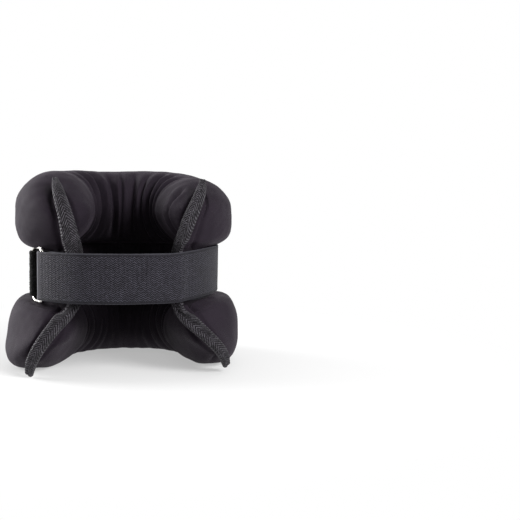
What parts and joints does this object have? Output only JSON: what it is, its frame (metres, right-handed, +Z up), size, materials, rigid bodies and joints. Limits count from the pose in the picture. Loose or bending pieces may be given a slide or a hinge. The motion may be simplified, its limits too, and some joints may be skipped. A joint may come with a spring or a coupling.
{
  "type": "ankle cuff weight",
  "caption": "Soft ankle cuff weight: padded sand-filled rolls above and below a flat waist, bent into an open C and cinched by a webbing strap through a metal ring.",
  "frame": {"origin": "on the floor, at the middle of the cuff's bounding box seen from above", "axes": "+Z up along the leg; the opening faces -Y; the strap ring is on the -X side"},
  "size_m": [0.1474, 0.131, 0.1254],
  "materials": {
    "neoprene": "matte knit-faced foam rubber, soft sheen",
    "lining": "plain woven liner",
    "iron_sand": "dull dark grains",
    "binding": "ribbed herringbone tape",
    "thread": "twisted polyester thread",
    "loop_tape": "fuzzy loop pile",
    "hook_tape": "moulded hooks",
    "webbing": "fine herringbone webbing",
    "metal": "bright nickel-plated wire"
  },
  "bodies": {
    "left_half": {"left_upper_roll_cover": "neoprene", "left_upper_sand_pouch": "lining", "left_upper_sand_fill": "iron_sand", "left_lower_roll_cover": "neoprene", "left_lower_sand_pouch": "lining", "left_lower_sand_fill": "iron_sand", "left_waist_outer_panel": "neoprene", "left_waist_inner_panel": "neoprene", "left_end_binding": "binding", "left_binding_stitching": "thread", "left_loop_tape": "loop_tape", "ring_tab": "loop_tape", "ring_tab_stitching": "thread", "strap_front_inner": "webbing", "strap_front_outer": "webbing"},
    "ring": {"strap_ring": "metal", "strap_fold": "webbing"},
    "right_half": {"right_upper_roll_cover": "neoprene", "right_upper_sand_pouch": "lining", "right_upper_sand_fill": "iron_sand", "right_lower_roll_cover": "neoprene", "right_lower_sand_pouch": "lining", "right_lower_sand_fill": "iron_sand", "right_waist_outer_panel": "neoprene", "right_waist_inner_panel": "neoprene", "right_end_binding": "binding", "right_binding_stitching": "thread", "right_loop_tape": "loop_tape", "strap_base": "webbing", "strap_base_stitching": "thread", "strap_shoulder": "webbing"},
    "strap_tail": {"strap_tail": "webbing"},
    "strap_tip": {"strap_tip": "webbing", "hook_patch": "hook_tape", "hook_patch_stitching": "thread"}
  },
  "joints": [
    {"name": "cuff_flex", "type": "hinge", "parent": "left_half", "child": "right_half", "pos_m": [0, 0.0663, 0.0605], "axis": [0, 0, 1], "range_deg": [0, 25], "stiffness_Nm_per_rad": 0.2, "deforming": ["strap_front_inner", "strap_front_outer"]},
    {"name": "ring_swivel", "type": "hinge", "parent": "left_half", "child": "ring", "pos_m": [-0.0566, -0.0272, 0.0605], "axis": [0, 0, -1], "range_deg": [0, 15]},
    {"name": "tail_peel", "type": "hinge", "parent": "right_half", "child": "strap_tail", "pos_m": [0.05249, -0.03611, 0.0605], "axis": [0, 0, -1], "range_deg": [0, 70]},
    {"name": "tip_peel", "type": "hinge", "parent": "strap_tail", "child": "strap_tip", "pos_m": [0.05768, 0.00618, 0.0605], "axis": [0, 0, -1], "range_deg": [0, 75]}
  ]
}
